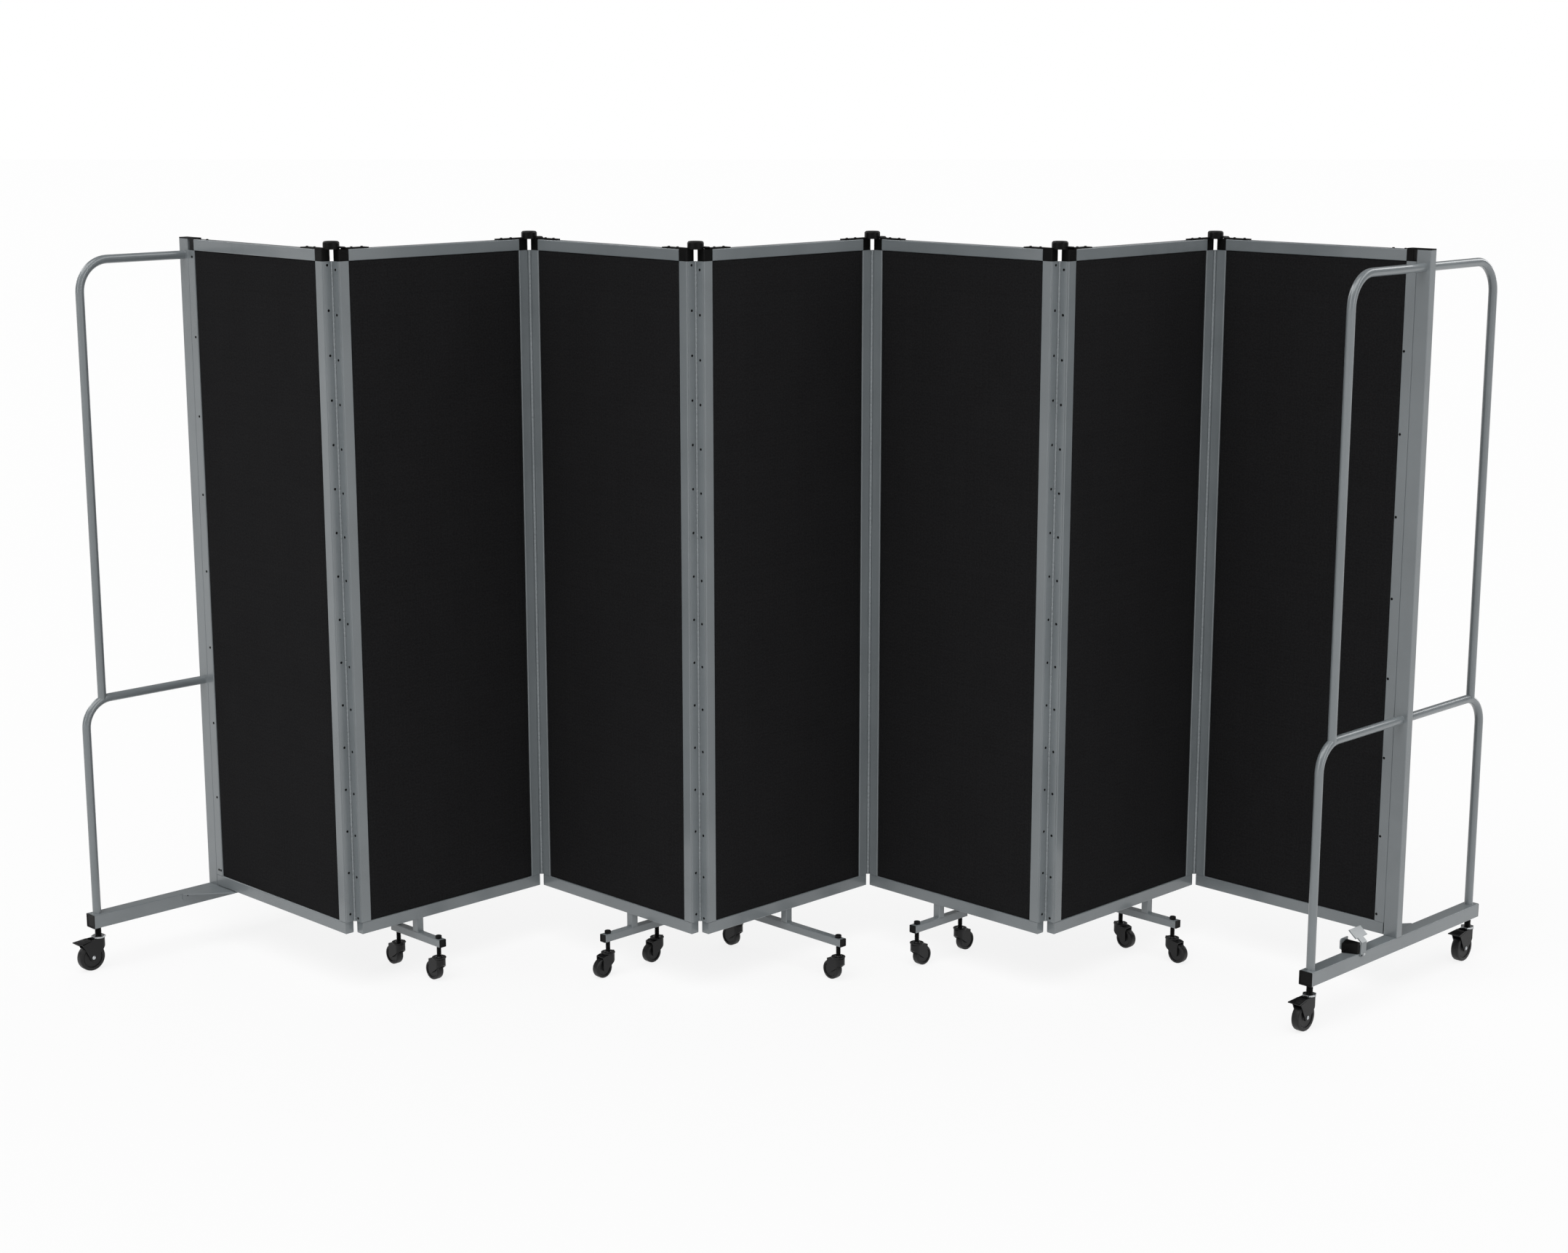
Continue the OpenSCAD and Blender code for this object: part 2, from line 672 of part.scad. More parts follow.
// Fork of a small caster with its axle, trailing to -Y
module small_fork() {
    w = small_cheek_x + small_cheek_t;
    back = small_head_r - w;
    front = small_trail + small_hub_r;
    high = small_hood_z + small_hood_h;
    corner = [-back - w - over, 2 * small_wheel_r - 6];
    centre = [small_trail, small_wheel_r];
    color(moulding) {
        difference() {
            union() {
                cylinder_on(small_head_r - 2, high - over, small_head_z - 1);
                cylinder_on(small_head_r, small_head_z - 2, small_head_z);
                fork_shell(w, small_cheek_t, back, front, small_hood_z, high) {
                    polygon([
                        [corner.x, high], corner, tangent(corner, centre, small_hub_r, -1),
                        centre, [front, small_wheel_r], [front, small_hood_z + 2],
                        [front - 10, high]
                    ]);
                    translate(centre) circle(small_hub_r);
                }
            }
            cylinder_on(small_stem_r + running_fit, small_stem_z - seat, small_head_z + over);
        }
        translate([0, -small_trail, small_wheel_r]) rotate([0, 90, 0])
            cylinder(r = small_axle_r, h = 2 * small_cheek_x + over, center = true);
    }
}

// Wheel on an axle along X through its centre, with dished sides
module wheel(r, w, axle_r, trail) {
    color(rubber) translate([0, -trail, r]) rotate([0, 90, 0]) difference() {
        rotate_extrude($fn = 96) translate([0, -w / 2]) {
            square([r - 2, w]);
            translate([0, 2]) square([r, w - 4]);
            for (z = [2, w - 2]) translate([r - 2, z]) circle(2, $fn = 24);
        }
        for (s = [0, 180]) rotate([s, 0, 0]) translate([0, 0, w / 2 - 2]) difference() {
            cylinder(r = r * 0.66, h = over + 2);
            translate([0, 0, -over]) cylinder(r = r * 0.32, h = 2 * over + 4);
        }
        cylinder(r = axle_r + running_fit, h = w + 2 * over, center = true);
    }
}

// Fork of an end caster with its axle and pedal pin, trailing to -Y
module end_fork() {
    w = end_cheek_x + end_cheek_t;
    back = 3;
    high = end_head_z - 0.5;
    corner = [-back - w - over, 2 * end_wheel_r - 7];
    tip = [end_cheek_l, end_head_low + 0.5];
    step = pedal_back_y - 0.8;
    centre = [end_trail, end_wheel_r];
    color(moulding) {
        difference() {
            union() {
                cylinder_on(w + back - 0.5, high - over, end_head_z);
                fork_shell(w, end_cheek_t, back, w + back, end_head_low, high) {
                    polygon([
                        [corner.x, high], corner, tangent(corner, centre, end_hub_r, -1), centre,
                        tangent(tip, centre, end_hub_r, 1), tip,
                        [step, end_head_z - pedal_t - 0.8], [step, high]
                    ]);
                    translate(centre) circle(end_hub_r);
                }
            }
            cylinder_on(end_stem_r + running_fit, end_stem_z - seat, end_head_z + over);
        }
        translate([0, -end_trail, end_wheel_r]) rotate([0, 90, 0])
            cylinder(r = end_axle_r, h = 2 * end_cheek_x + over, center = true);
        for (s = [-1, 1]) mirror([s < 0 ? 1 : 0, 0, 0])
            translate([w - over, -end_trail, end_wheel_r]) rotate([0, 90, 0])
                cylinder(r = end_axle_r + 0.5, h = over + 1.2);
        translate([0, -pedal_pin_y, pedal_pin_z]) rotate([0, 90, 0])
            cylinder(r = pedal_pin_r, h = 2 * end_cheek_x + over, center = true);
    }
}

// Point of the brake shoe over the wheel's tread, a degrees in front of its top
function shoe_point(a) =
    [end_trail, end_wheel_r] + (end_wheel_r + shoe_gap) * [sin(a), cos(a)];

// Brake pedal round its pin: root barrel, brake shoe and widening plate
module pedal() {
    root_x = end_cheek_x - seat;
    wide = pedal_w / 2;
    narrow = end_cheek_x + end_cheek_t;
    tip_z = end_head_z - pedal_fall;
    color(moulding) difference() {
        union() {
            translate([0, -pedal_pin_y, pedal_pin_z]) rotate([0, 90, 0])
                cylinder(r = pedal_root_r, h = 2 * root_x, center = true);
            // Arm and shoe between the fork's cheeks
            cheek(-root_x, root_x) polygon([
                [pedal_pin_y - pedal_root_r, pedal_pin_z],
                [pedal_pin_y - pedal_root_r, end_head_z - pedal_t / 2],
                [pedal_reach - 8, tip_z - pedal_t / 2], shoe_point(34), shoe_point(25),
                [pedal_pin_y, pedal_pin_z]
            ]);
            // Plate
            intersection() {
                cheek(-wide, wide) polygon([
                    [pedal_back_y, end_head_z], [pedal_reach, tip_z],
                    [pedal_reach, tip_z - pedal_t], [pedal_back_y, end_head_z - pedal_t]
                ]);
                translate([0, 0, tip_z - 2 * pedal_t])
                    linear_extrude(pedal_fall + 3 * pedal_t) polygon([
                        [-narrow, -pedal_back_y], [-wide, -pedal_reach],
                        [wide, -pedal_reach], [narrow, -pedal_back_y]
                    ]);
            }
        }
        translate([0, -pedal_pin_y, pedal_pin_z]) rotate([0, 90, 0])
            cylinder(r = pedal_pin_r + running_fit, h = 3 * root_x, center = true);
    }
}

// Casters of panel i: side is -1 at the front, 1 at the back
module t_fork(i, side, trail) {
    y = side * (i == middle_panel ? stem_long_y : stem_y);
    at_caster(i, stub_xs[i], y, trail) small_fork();
}
module t_wheel(i, side, trail) {
    y = side * (i == middle_panel ? stem_long_y : stem_y);
    at_caster(i, stub_xs[i], y, trail)
        wheel(small_wheel_r, small_wheel_w, small_axle_r, small_trail);
}
module foot_fork(i, side) {
    at_caster(i, (i == 1 ? -1 : 1) * foot_x, side * end_stem_y, -1) end_fork();
}
module foot_wheel(i, side) {
    at_caster(i, (i == 1 ? -1 : 1) * foot_x, side * end_stem_y, -1)
        wheel(end_wheel_r, end_wheel_w, end_axle_r, end_trail);
}
module foot_pedal(i, side) {
    at_caster(i, (i == 1 ? -1 : 1) * foot_x, side * end_stem_y, -1) pedal();
}

panel_frame(1);  // panel_1_frame
panel_frame(2);  // panel_2_frame
panel_frame(3);  // panel_3_frame
panel_frame(4);  // panel_4_frame
panel_frame(5);  // panel_5_frame
panel_frame(6);  // panel_6_frame
panel_frame(7);  // panel_7_frame
panel_fabric(1);  // panel_1_fabric
panel_fabric(2);  // panel_2_fabric
panel_fabric(3);  // panel_3_fabric
panel_fabric(4);  // panel_4_fabric
panel_fabric(5);  // panel_5_fabric
panel_fabric(6);  // panel_6_fabric
panel_fabric(7);  // panel_7_fabric
panel_plastics(1);  // panel_1_plastics
panel_plastics(2);  // panel_2_plastics
panel_plastics(3);  // panel_3_plastics
panel_plastics(4);  // panel_4_plastics
panel_plastics(5);  // panel_5_plastics
panel_plastics(6);  // panel_6_plastics
panel_plastics(7);  // panel_7_plastics
end_frame(1, -1);  // end_frame_left
end_frame(7, 1);  // end_frame_right
foot(1, -1, -1);  // foot_left
foot(7, 1, 1);  // foot_right
latch_lever();
latch_block();
t_fork(2, -1, 1);  // fork_2f
t_fork(2, 1, 1);  // fork_2b
t_fork(3, -1, -1);  // fork_3f
t_fork(3, 1, -1);  // fork_3b
t_fork(4, -1, 1);  // fork_4f
t_fork(4, 1, 1);  // fork_4b
t_fork(5, -1, 1);  // fork_5f
t_fork(5, 1, 1);  // fork_5b
t_fork(6, -1, -1);  // fork_6f
t_fork(6, 1, -1);  // fork_6b
t_wheel(2, -1, 1);  // wheel_2f
t_wheel(2, 1, 1);  // wheel_2b
t_wheel(3, -1, -1);  // wheel_3f
t_wheel(3, 1, -1);  // wheel_3b
t_wheel(4, -1, 1);  // wheel_4f
t_wheel(4, 1, 1);  // wheel_4b
t_wheel(5, -1, 1);  // wheel_5f
t_wheel(5, 1, 1);  // wheel_5b
t_wheel(6, -1, -1);  // wheel_6f
t_wheel(6, 1, -1);  // wheel_6b
foot_fork(1, -1);  // fork_1f
foot_fork(1, 1);  // fork_1b
foot_fork(7, -1);  // fork_7f
foot_fork(7, 1);  // fork_7b
foot_wheel(1, -1);  // wheel_1f
foot_wheel(1, 1);  // wheel_1b
foot_wheel(7, -1);  // wheel_7f
foot_wheel(7, 1);  // wheel_7b
foot_pedal(1, -1);  // pedal_1f
foot_pedal(1, 1);  // pedal_1b
foot_pedal(7, -1);  // pedal_7f
foot_pedal(7, 1);  // pedal_7b
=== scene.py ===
# Portable room divider: seven fabric panels in painted tube frames, standing in a zigzag on casters.
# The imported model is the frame; this script adds covers, hinge knuckles, screws, threads and finishes.
import json
import math
import bmesh
import bpy
import numpy as np
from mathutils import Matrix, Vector

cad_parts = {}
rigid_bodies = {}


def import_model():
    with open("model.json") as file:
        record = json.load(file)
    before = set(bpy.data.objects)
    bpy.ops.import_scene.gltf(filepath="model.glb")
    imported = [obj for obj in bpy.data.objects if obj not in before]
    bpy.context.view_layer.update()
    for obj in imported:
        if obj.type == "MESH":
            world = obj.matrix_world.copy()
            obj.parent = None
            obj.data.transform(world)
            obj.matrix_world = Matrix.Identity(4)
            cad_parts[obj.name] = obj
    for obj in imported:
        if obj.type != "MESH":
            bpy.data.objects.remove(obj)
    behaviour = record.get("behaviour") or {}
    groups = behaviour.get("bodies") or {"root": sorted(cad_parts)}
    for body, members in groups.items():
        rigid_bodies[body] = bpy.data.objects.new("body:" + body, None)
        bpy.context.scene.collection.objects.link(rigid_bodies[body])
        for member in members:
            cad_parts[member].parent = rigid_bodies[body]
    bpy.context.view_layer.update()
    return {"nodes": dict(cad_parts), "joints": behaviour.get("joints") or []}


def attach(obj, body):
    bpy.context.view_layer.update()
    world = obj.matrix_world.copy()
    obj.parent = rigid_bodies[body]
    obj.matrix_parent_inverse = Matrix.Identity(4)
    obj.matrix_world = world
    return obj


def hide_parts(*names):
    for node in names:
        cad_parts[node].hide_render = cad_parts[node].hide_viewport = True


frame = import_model()
joints = {joint["name"]: joint for joint in frame["joints"]}

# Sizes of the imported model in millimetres, heights above the floor
divider = {
    "turn": 45, "fabricX": 256.5, "postW": 27.5, "frameT": 24, "hingeGap": 4, "axisOut": 1,
    "railZ": 146, "fabricZ": 176, "topZ": 1819.5, "footTop": 145, "barTop": 111, "footX": 303,
}
divider["axisX"] = divider["fabricX"] + divider["postW"] + divider["hingeGap"]
divider["axisY"] = divider["frameT"] / 2 + divider["axisOut"]


def jointSpot(name):
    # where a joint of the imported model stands, in millimetres
    return 1000 * np.array(joints[name]["pos_m"])


# the hinge axes, and how far apart neighbouring panels are along the row
foldAt = {k: jointSpot("fold_%d_%d" % (k, k + 1)) for k in range(1, 7)}
panelStep = foldAt[2][0] - foldAt[1][0]
outerEnds = ((1, -1), (7, 1))  # panel and side of the two free ends of the row


# Places

def panelSide(i):
    # the directions of panel i's own X, Y and Z, one in each column
    a = math.radians(divider["turn"] * (1 if i % 2 == 0 else -1))
    return np.array([[math.cos(a), -math.sin(a), 0], [math.sin(a), math.cos(a), 0], [0, 0, 1]])


def onPanel(i, points):
    # a panel's own drawing, length along X and front towards -Y, moved to its place in the zigzag;
    # the first hinge is half a step from the middles of panels 1 and 2
    middle = np.array([foldAt[1][0] + (i - 1.5) * panelStep, (foldAt[1][1] + foldAt[2][1]) / 2, 0])
    return np.asarray(points, float) @ panelSide(i).T + middle


def hingeFront(i, end):
    # -1 where the hinge at that end of panel i is at the front, 1 where it is at the back
    return -end * (1 if i % 2 == 0 else -1)


def atHinge(i, end, x, y, z):
    # x is measured from the hinge axis into the panel, y from the axis through its thickness
    local = (end * (divider["axisX"] - x), hingeFront(i, end) * (divider["axisY"] - y), z)
    return onPanel(i, [local])[0]


# Surfaces as grids of points

def gridPart(points, uv=None):
    # faces between the neighbouring points of a rows x columns grid; columns that go round to the
    # left and rows that go up give faces that point outwards
    rows, columns = points.shape[:2]
    r, c = np.meshgrid(np.arange(rows - 1), np.arange(columns - 1), indexing="ij")
    a = (r * columns + c).ravel()
    faces = np.stack([a, a + 1, a + columns + 1, a + columns], 1)
    if uv is None:
        uv = np.zeros((rows, columns, 2))
    return points.reshape(-1, 3), faces, uv.reshape(-1, 2)


def turnedPart(profile, steps):
    # a profile of (radius, height), from the bottom up, turned once round the Z axis; UV is the
    # share of the turn and the length along the profile
    profile = np.asarray(profile, float)
    angle = np.linspace(0, 2 * np.pi, steps + 1)
    radius = profile[:, :1]
    points = np.stack([
        radius * np.cos(angle), radius * np.sin(angle), np.repeat(profile[:, 1:], steps + 1, 1)], -1)
    along = np.concatenate([[0], np.cumsum(np.hypot(*np.diff(profile, axis=0).T))])
    uv = np.stack(np.broadcast_arrays(angle[None, :] / (2 * np.pi), along[:, None]), -1)
    return gridPart(points, uv)


def facing(axis, side):
    # three right-handed directions in columns, with Z along axis and X as near to side as it can
    # be, or level where side runs along the axis
    z = np.asarray(axis, float) / np.linalg.norm(axis)
    x = np.asarray(side, float) - z * np.dot(side, z)
    if np.linalg.norm(x) < 1e-6:
        x = np.cross([0, 1, 0], z)
    x /= np.linalg.norm(x)
    return np.stack([x, np.cross(z, x), z], 1)


def placed(part, centre, axis=(0, 0, 1), side=(1, 0, 0)):
    points, faces, uv = part
    return points @ facing(axis, side).T + np.asarray(centre, float), faces, uv


def barPart(start, end, radius, sides=8):
    # a thin round bar from start to end with rounded tips; side is off vertical, so that it never
    # runs along the bar
    start, end = np.asarray(start, float), np.asarray(end, float)
    length = np.linalg.norm(end - start)
    rows = [[0, 0], [0.7 * radius, 0.3 * radius], [radius, radius], [radius, length - radius],
            [0.7 * radius, length - 0.3 * radius], [0, length]]
    side = np.array([0, 0, 1]) + 1e-3
    return placed(turnedPart(rows, sides), start, end - start, side)


def onPanelPart(i, part):
    points, faces, uv = part
    return onPanel(i, points), faces, uv


def makePiece(name, body, finish, parts, smooth=38):
    # one mesh from all its parts, millimetres to metres; seams and poles are closed by merging, and
    # only edges of more than smooth degrees stay sharp
    count = np.cumsum([0] + [len(p[0]) for p in parts])
    points = np.concatenate([p[0] for p in parts]) / 1000
    faces = np.concatenate([p[1] + n for p, n in zip(parts, count)])
    uv = np.concatenate([p[2] for p in parts])
    mesh = bpy.data.meshes.new(name)
    mesh.from_pydata(points.tolist(), [], faces.tolist())
    layer = mesh.uv_layers.new(name="UVMap")
    corner = np.zeros(len(mesh.loops), np.int32)
    mesh.loops.foreach_get("vertex_index", corner)
    layer.data.foreach_set("uv", uv[corner].astype(np.float32).ravel())
    shape = bmesh.new()
    shape.from_mesh(mesh)
    bmesh.ops.remove_doubles(shape, verts=shape.verts, dist=1e-6)
    bmesh.ops.dissolve_degenerate(shape, edges=shape.edges, dist=1e-7)
    shape.to_mesh(mesh)
    shape.free()
    mesh.polygons.foreach_set("use_smooth", np.ones(len(mesh.polygons), bool))
    mesh.set_sharp_from_angle(angle=math.radians(smooth))
    mesh.materials.append(finish)
    piece = bpy.data.objects.new(name, mesh)
    bpy.context.scene.collection.objects.link(piece)
    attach(piece, body)
    return piece


# Finishes

def colour(r, g, b):
    # a colour as read from the photograph, 0 to 255, made linear
    shares = np.array([r, g, b]) / 255
    linear = np.where(shares < 0.0404, shares / 12.92, ((shares + 0.055) / 1.055) ** 2.4)
    return (*linear.tolist(), 1)


class Wire:
    # one socket among the nodes; sums on it add Math nodes
    def __init__(self, nodes, socket):
        self.nodes = nodes
        self.socket = socket

    def math(self, operation, *values):
        return self.nodes.wire("Math", {"operation": operation}, dict(enumerate(values)))

    def __add__(self, other):
        return self.math("ADD", self, other)

    def __radd__(self, other):
        return self.math("ADD", other, self)

    def __sub__(self, other):
        return self.math("SUBTRACT", self, other)

    def __rsub__(self, other):
        return self.math("SUBTRACT", other, self)

    def __mul__(self, other):
        return self.math("MULTIPLY", self, other)

    def __rmul__(self, other):
        return self.math("MULTIPLY", other, self)

    def __truediv__(self, other):
        return self.math("DIVIDE", self, other)

    def __rtruediv__(self, other):
        return self.math("DIVIDE", other, self)

    def __abs__(self):
        return self.math("ABSOLUTE", self)

    def sine(self):
        return self.math("SINE", self)

    def floor(self):
        return self.math("FLOOR", self)

    def ramp(self, low, high, start=0.0, end=1.0):
        # start below low, end above high, straight between; start and end may be wires too
        return self.nodes.wire("MapRange", {}, {
            "Value": self, "From Min": low, "From Max": high, "To Min": start, "To Max": end})


class Nodes:
    # a node tree that is built up wire by wire
    def __init__(self, tree):
        self.tree = tree

    def fill(self, node, values):
        for key, value in values.items():
            if isinstance(value, Wire):
                self.tree.links.new(value.socket, node.inputs[key])
            else:
                node.inputs[key].default_value = value

    def wire(self, kind, settings=None, values=None, out=0):
        node = self.tree.nodes.new("ShaderNode" + kind)
        for key, value in (settings or {}).items():
            setattr(node, key, value)
        self.fill(node, values or {})
        return Wire(self, node.outputs[out])

    def part(self, vector, axis):
        return self.wire("SeparateXYZ", {}, {0: vector}, out=axis)

    def noise(self, vector, scale, detail, roughness=0.5):
        return self.wire("TexNoise", {}, {
            "Vector": vector, "Scale": scale, "Detail": detail, "Roughness": roughness})

    def mix(self, factor, a, b):
        return self.wire("Mix", {"data_type": "RGBA"}, {0: factor, 6: a, 7: b}, out=2)


class Finish(Nodes):
    # a material and the nodes that feed its shader
    def __init__(self, name):
        self.material = bpy.data.materials.new(name)
        self.material.use_nodes = True
        super().__init__(self.material.node_tree)
        self.shader = self.tree.nodes["Principled BSDF"]

    def place(self):
        return self.wire("TexCoord", out="Object")

    def shade(self, values):
        self.fill(self.shader, values)

    def bump(self, height, distance):
        normal = self.wire("Bump", {}, {"Strength": 1.0, "Distance": distance, "Height": height})
        self.fill(self.shader, {"Normal": normal})


def satinPaint(name, light, dark, rough):
    # sprayed satin enamel: faint orange peel, slow drift of tone, slightly duller in patches
    enamel = {"drift": 5, "peel": 420, "speck": 2600, "height": 0.00006, "coat": 0.5, "coatRough": 0.12}
    finish = Finish(name)
    at = finish.place()
    drift = finish.noise(at, enamel["drift"], 3)
    peel = finish.noise(at, enamel["peel"], 2)
    speck = finish.noise(at, enamel["speck"], 1)
    finish.shade({
        "Base Color": finish.mix(drift.ramp(0.35, 0.65) * 0.7 + speck * 0.3, dark, light),
        "Roughness": rough + (drift - 0.5) * 0.1 + (speck - 0.5) * 0.06,
        "IOR": 1.5, "Coat Weight": enamel["coat"], "Coat Roughness": enamel["coatRough"]})
    finish.bump(peel * 0.75 + speck * 0.25, enamel["height"])
    return finish.material


def mouldedPlastic(name, light, dark, rough, height, gloss):
    # fine even grain over a slow cloudiness, as on a spark-eroded moulding or a blackened screw
    grain = {"cloud": 40, "fine": 1900}
    finish = Finish(name)
    at = finish.place()
    cloud = finish.noise(at, grain["cloud"], 3)
    fine = finish.noise(at, grain["fine"], 3, 0.65)
    finish.shade({
        "Base Color": finish.mix(cloud.ramp(0.3, 0.7) * 0.6 + fine * 0.4, dark, light),
        "Roughness": rough + (cloud - 0.5) * 0.12 + (fine - 0.5) * 0.1,
        "IOR": 1.48, "Specular IOR Level": gloss})
    finish.bump(fine, height)
    return finish.material


def wovenCloth():
    # plain weave: each yarn is a half round, over its neighbours in a chequer, with its own tone and with
    # painted shade that darkens it between the yarns and lightens its crown, under a fine mottle and a
    # slow cloud; UV runs in metres along the panel and up it
    weave = {"yarn": 0.0011, "height": 0.00016, "light": colour(40, 40, 41), "dark": colour(13, 13, 14),
             "cloud": 9, "mottle": 210, "fuzz": 700}
    finish = Finish("wovenCloth")
    uv = finish.wire("UVMap", {"uv_map": "UVMap"})
    across = finish.part(uv, "X") / weave["yarn"]
    up = finish.part(uv, "Y") / weave["yarn"]
    over = ((across * math.pi).sine() * (up * math.pi).sine() * 3).ramp(-1, 1)
    warp = abs((across * math.pi).sine())
    weft = abs((up * math.pi).sine())
    height = warp * over + weft * (1 - over)
    warpTone = finish.wire("TexWhiteNoise", {"noise_dimensions": "1D"}, {"W": across.floor()})
    weftTone = finish.wire("TexWhiteNoise", {"noise_dimensions": "1D"}, {"W": up.floor() + 0.5})
    tone = warpTone * over + weftTone * (1 - over)
    cloud = finish.noise(uv, weave["cloud"], 4)
    fuzz = finish.noise(uv, weave["fuzz"], 3, 0.7)
    mottle = finish.noise(uv, weave["mottle"], 3, 0.65).ramp(0.3, 0.7)
    # the yarn height also goes into the colour: painted shade between the yarns and a lighter crown on
    # each
    shade = height * 0.25 + tone * 0.15 + mottle * 0.45 + cloud * 0.15
    finish.shade({
        "Base Color": finish.mix(shade, weave["dark"], weave["light"]),
        "Roughness": 0.95, "IOR": 1.4, "Specular IOR Level": 0.08})
    finish.bump(height * 0.8 + fuzz * 0.2, weave["height"])
    return finish.material


def brightMetal(name, light, rough):
    # plated steel with fine marks and a faint haze
    plate = {"marks": 900, "haze": 60, "height": 0.00001, "darker": 0.82}
    finish = Finish(name)
    at = finish.place()
    marks = finish.noise(at, plate["marks"], 3, 0.7)
    haze = finish.noise(at, plate["haze"], 2)
    dark = tuple(plate["darker"] * c for c in light[:3]) + (1,)
    finish.shade({
        "Base Color": finish.mix(haze, dark, light),
        "Metallic": 1.0, "Roughness": rough + marks * 0.1 + haze * 0.06})
    finish.bump(marks, plate["height"])
    return finish.material


def tyreRubber(name, light, dark):
    # hard tread: dull and finely grained, lighter and duller in patches of dust
    rubber = {"dust": 130, "fine": 2300, "height": 0.00004}
    finish = Finish(name)
    at = finish.place()
    dust = finish.noise(at, rubber["dust"], 4, 0.6)
    fine = finish.noise(at, rubber["fine"], 2)
    finish.shade({
        "Base Color": finish.mix(dust.ramp(0.35, 0.75), dark, light),
        "Roughness": 0.36 + dust * 0.2, "IOR": 1.5, "Specular IOR Level": 0.32})
    finish.bump(fine * 0.6 + dust * 0.4, rubber["height"])
    return finish.material


paint = satinPaint("greyEnamel", colour(124, 130, 133), colour(114, 120, 123), rough=0.29)
# the hinge sleeves take the frame's enamel painted lighter, a painted highlight for the shine along the
# knuckles
hingeHighlightPaint = satinPaint("hingeEnamel", colour(140, 146, 149), colour(124, 130, 133), rough=0.32)
plastic = mouldedPlastic(
    "blackMoulding", colour(22, 22, 23), colour(13, 13, 14), rough=0.38, height=0.00005, gloss=0.3)
capPlastic = mouldedPlastic(
    "blackCaps", colour(11, 11, 11), colour(6, 6, 6), rough=0.42, height=0.00005, gloss=0.14)
screwBlack = mouldedPlastic(
    "blackenedSteel", colour(6, 6, 6), colour(2, 2, 2), rough=0.5, height=0.00002, gloss=0.1)
cloth = wovenCloth()
chrome = brightMetal("chromePlate", colour(196, 198, 200), rough=0.2)
axleSteel = brightMetal("zincPlate", colour(200, 203, 205), rough=0.22)
tread = tyreRubber("hardTread", colour(26, 26, 27), colour(15, 15, 16))
print("finishes made")

for name, node in frame["nodes"].items():
    look = plastic
    if name.startswith(("end_frame", "foot", "latch_lever")) or name.endswith("frame"):
        look = paint
    if name.startswith("wheel"):
        look = tread
    if name.endswith("plastics") or name == "latch_block":
        look = capPlastic
    node.data.materials.clear()
    node.data.materials.append(look)
print("frame nodes painted")


# Cloth-covered boards

def coveredBoard(i):
    # seen from above the outline is a rectangle with round corners; it is drawn in along a quarter
    # circle at the top and bottom, and its two faces are slightly crowned, as stretched cloth is;
    # UV runs in metres round the outline and up
    board = {"width": 512.4, "depth": 21, "bottom": 176.3, "top": 1791.7, "corner": 3, "edge": 2.2,
             "crown": 0.4, "ripple": 0.05, "rippleX": 31, "rippleZ": 83,
             "rows": 37, "rowsIn": 12, "columns": 25, "endColumns": 4, "cornerPoints": 5, "edgePoints": 4}
    x, y, r = board["width"] / 2, board["depth"] / 2, board["corner"]
    quarter = np.radians(np.linspace(0, 90, board["cornerPoints"]))
    outline, normal = [], []
    for k in range(4):
        long = k % 2 == 0
        half, out = (x, y) if long else (y, x)
        side = np.linspace(-1, 1, board["columns"] if long else board["endColumns"])
        a = math.radians(90 * k - 90)
        turn = np.array([[-math.sin(a), math.cos(a)], [math.cos(a), math.sin(a)]])
        line = np.stack([side * (half - r), np.full(len(side), out)], 1) @ turn
        outline.append(line)
        normal.append(np.tile([math.cos(a), math.sin(a)], (len(side), 1)))
        corner = np.array([[half - r, out - r]]) @ turn
        way = np.stack([np.cos(a + quarter), np.sin(a + quarter)], 1)
        outline.append(corner + r * way)
        normal.append(way)
    outline, normal = np.concatenate(outline), np.concatenate(normal)
    outline, normal = np.concatenate([outline, outline[:1]]), np.concatenate([normal, normal[:1]])
    edge = np.radians(np.linspace(0, 90, board["edgePoints"]))
    drawn = board["edge"] * (1 - np.sin(edge))
    rise = board["edge"] * (1 - np.cos(edge))
    bottom, top = board["bottom"], board["top"]
    inset = np.concatenate([drawn, np.zeros(board["rows"]), drawn[::-1]])
    height = np.concatenate([
        bottom + rise, np.linspace(bottom + board["rowsIn"], top - board["rowsIn"], board["rows"]),
        top - rise[::-1]])
    flat = outline[None] - normal[None] * inset[:, None, None]
    across = np.clip(1 - (flat[..., 0] / x) ** 2, 0, 1)
    up = np.clip(1 - ((2 * height - top - bottom) / (top - bottom)) ** 2, 0, 1)[:, None]
    wave = np.sin(flat[..., 0] / board["rippleX"] + i) * np.sin(height[:, None] / board["rippleZ"] + 2 * i)
    swell = board["crown"] * (across * up) ** 0.25 + board["ripple"] * across * up * wave
    flat[..., 1] += np.where(np.abs(normal[:, 1]) > 0.99, np.sign(normal[:, 1]), 0) * swell
    points = np.concatenate([flat, np.repeat(height[:, None], len(outline), 1)[..., None]], -1)
    closing = points[[0, -1]].copy()
    closing[..., 1] = 0
    points = np.concatenate([closing[:1], points, closing[1:]])
    length = np.concatenate([[0], np.cumsum(np.hypot(*np.diff(outline, axis=0).T))])
    uv = np.stack(np.broadcast_arrays(length[None, :], points[..., 2]), -1) / 1000
    return onPanelPart(i, gridPart(points, uv))


for i in range(1, 8):
    piece = makePiece("coveredBoard_%d" % i, "panel_%d" % i, cloth, [coveredBoard(i)], smooth=50)
    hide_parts("panel_%d_fabric" % i)
print("boards covered")


# Screws

def screwHead(radius, height):
    # low dome with a round dimple for the driver, and a closed underside inside the metal
    rows = [[0, -0.3], [radius, -0.3], [radius, 0.25 * height], [0.8 * radius, 0.8 * height],
            [0.45 * radius, height], [0.36 * radius, 0.55 * height], [0, 0.5 * height]]
    return turnedPart(rows, steps=12)


